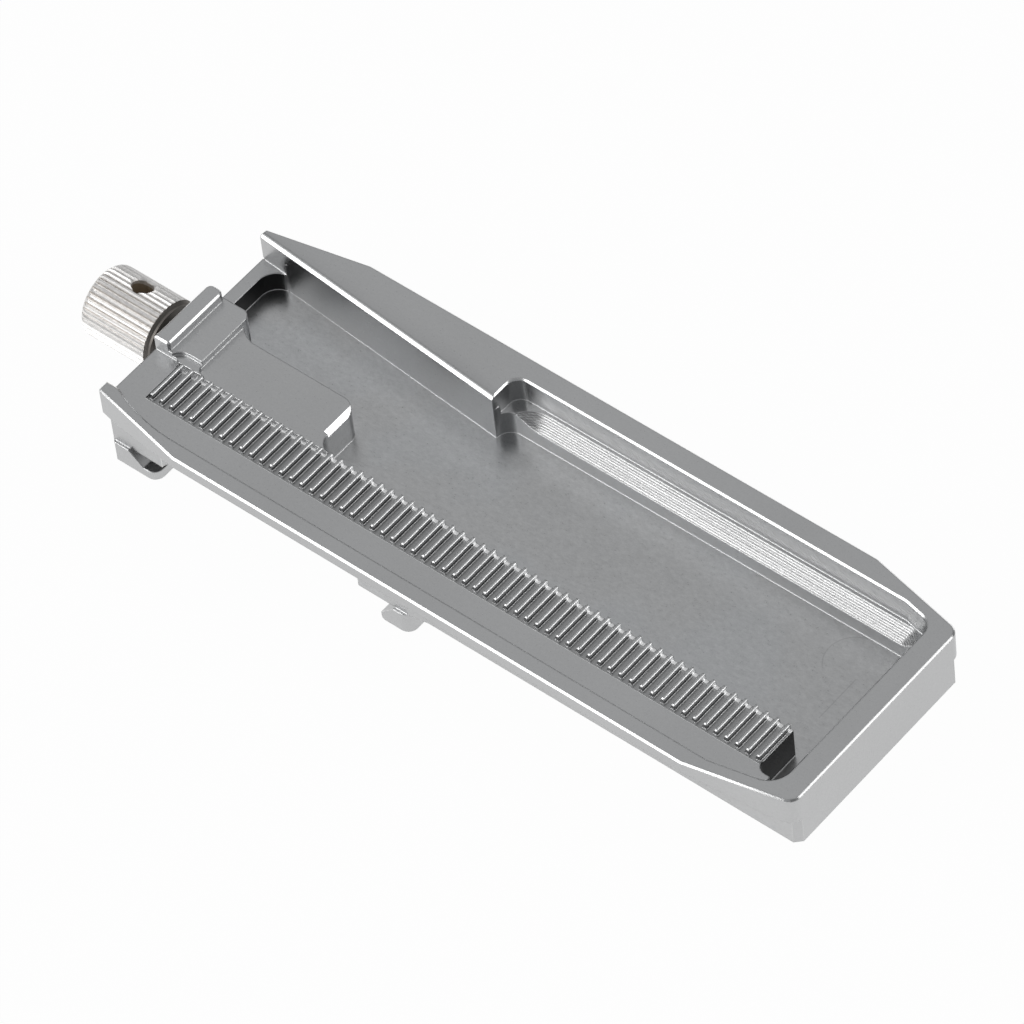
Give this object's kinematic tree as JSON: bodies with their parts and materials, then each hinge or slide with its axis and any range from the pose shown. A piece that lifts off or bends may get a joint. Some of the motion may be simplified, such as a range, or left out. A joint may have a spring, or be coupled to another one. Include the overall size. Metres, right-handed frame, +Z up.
{
  "type": "quick release plate",
  "caption": "Slim machined tray with an integral straight rack, a knurled clamp screw and a dovetail clamp channel underneath.",
  "frame": {"origin": "middle of the plate in plan, on the flat underside seat that the clamped plate bears on", "axes": "+X along the plate away from the knob, +Y across it towards the slanted wall, +Z up to the rim"},
  "size_m": [0.1136, 0.0354, 0.011],
  "materials": {
    "plate_metal": "fine satin anodised",
    "screw_metal": "bright knurled steel",
    "ring_metal": "spring steel"
  },
  "bodies": {
    "plate": {"plate_body": "plate_metal"},
    "jaw": {"clamp_jaw": "plate_metal"},
    "screw": {"thumb_screw": "screw_metal", "retaining_ring": "ring_metal"}
  },
  "joints": [
    {"name": "jaw_slide", "type": "slide", "parent": "plate", "child": "jaw", "axis": [1, 0, 0], "range_m": [0, 0.0015]},
    {"name": "screw_turn", "type": "hinge", "parent": "jaw", "child": "screw", "pos_m": [-0.0505, -0.00035, 0.00166], "axis": [1, 0, 0], "range_deg": [0, 1080]}
  ],
  "couplings": [
    {"joint": "screw_turn", "follows": "jaw_slide", "rad_per_m": 12566}
  ]
}
